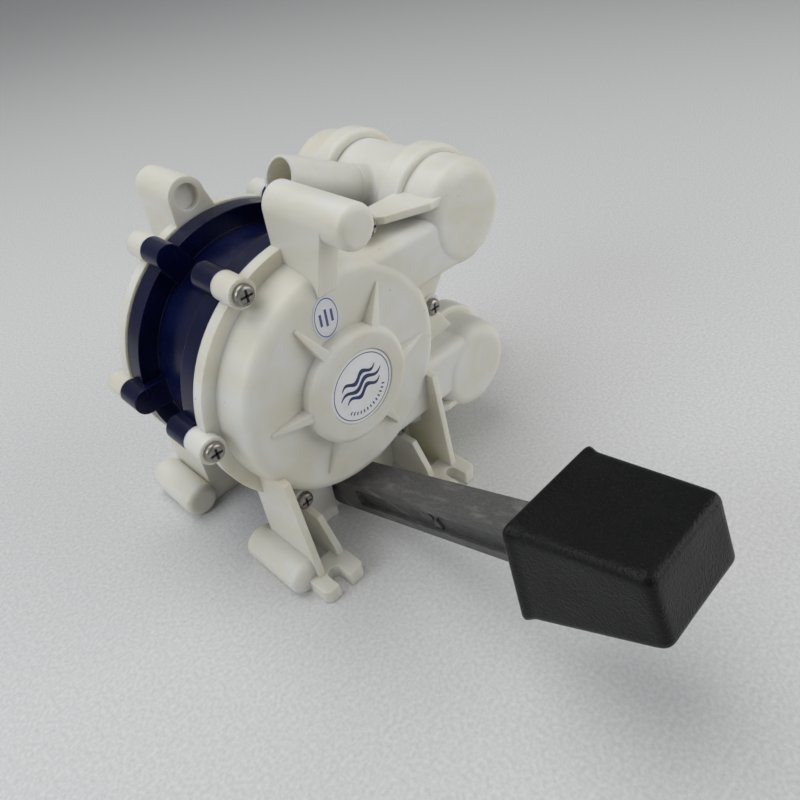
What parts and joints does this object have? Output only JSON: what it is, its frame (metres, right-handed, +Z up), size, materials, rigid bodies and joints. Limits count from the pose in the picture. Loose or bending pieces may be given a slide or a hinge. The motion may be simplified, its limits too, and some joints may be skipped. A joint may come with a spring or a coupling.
{
  "type": "foot-operated diaphragm pump",
  "caption": "Foot-operated double-acting diaphragm pump with a clamped round drum, pedal lever with rubber pad, screw-down feet and two swivelling hose tees.",
  "frame": {"origin": "on the floor plane under the middle of the drum, midway between the front and rear feet", "axes": "+Z up; +Y along the drum's axis away from the pedal, which points along -Y; +X towards the two tees"},
  "size_m": [0.1975, 0.2559, 0.156],
  "materials": {
    "cover": "satin moulded acetal, natural ivory-white",
    "clamp": "glossy moulded glass-filled nylon, navy",
    "screws": "stainless, turned and tumbled",
    "lever": "glass-filled nylon, lightly scuffed",
    "pad": "moulded rubber with a fine grain",
    "bush": "satin acetal",
    "pin": "ground stainless rod",
    "clips": "pressed stainless sheet",
    "yoke": "satin glass-filled nylon",
    "plates": "satin acetal",
    "rubber": "moulded nitrile",
    "spring": "drawn stainless wire",
    "tees": "satin moulded acetal, natural ivory-white",
    "valves": "soft moulded rubber",
    "rings": "satin moulded acetal",
    "disc": "printed label film",
    "sticker": "printed paper label"
  },
  "bodies": {
    "frame": {"front_cover": "cover", "rear_cover": "cover", "clamp_body": "clamp", "front_cover_screws": "screws", "rear_cover_screws": "screws", "front_diaphragm": "rubber", "rear_diaphragm": "rubber", "pivot_pin": "pin", "pin_clips": "clips", "return_spring": "spring", "outlet_valve_front": "valves", "outlet_valve_rear": "valves", "inlet_valve_front": "valves", "inlet_valve_rear": "valves", "outlet_valve_ring_front": "rings", "outlet_valve_ring_rear": "rings", "inlet_valve_ring_front": "rings", "inlet_valve_ring_rear": "rings", "name_disc": "disc", "check_sticker": "sticker"},
    "pedal": {"lever": "lever", "foot_pad": "pad", "pivot_bush": "bush"},
    "yoke": {"yoke": "yoke", "yoke_pin": "pin", "front_inner_plate": "plates", "rear_inner_plate": "plates", "front_outer_plate": "plates", "rear_outer_plate": "plates", "front_centre_screw": "screws", "rear_centre_screw": "screws"},
    "outlet_tee": {"outlet_tee": "tees", "outlet_tee_orings": "rubber"},
    "inlet_tee": {"inlet_tee": "tees", "inlet_tee_orings": "rubber"}
  },
  "joints": [
    {"name": "pedal_hinge", "type": "hinge", "parent": "frame", "child": "pedal", "pos_m": [0, -0.017, 0.0145], "axis": [1, 0, 0], "range_deg": [0, 15], "stiffness_Nm_per_rad": 3, "springref_deg": -28.65},
    {"name": "yoke_slide", "type": "slide", "parent": "frame", "child": "yoke", "axis": [0, 1, 0], "range_m": [-0.0172, 0], "deforming": ["front_diaphragm", "rear_diaphragm", "return_spring"]},
    {"name": "outlet_swivel", "type": "hinge", "parent": "frame", "child": "outlet_tee", "pos_m": [0.0744, 0, 0.1178], "axis": [0, 1, 0], "range_deg": [-8, 150]},
    {"name": "inlet_swivel", "type": "hinge", "parent": "frame", "child": "inlet_tee", "pos_m": [0.0744, 0, 0.0402], "axis": [0, 1, 0], "range_deg": [-55, 1]}
  ],
  "couplings": [
    {"joint": "yoke_slide", "follows": "pedal_hinge", "m_per_rad": -0.06487}
  ]
}
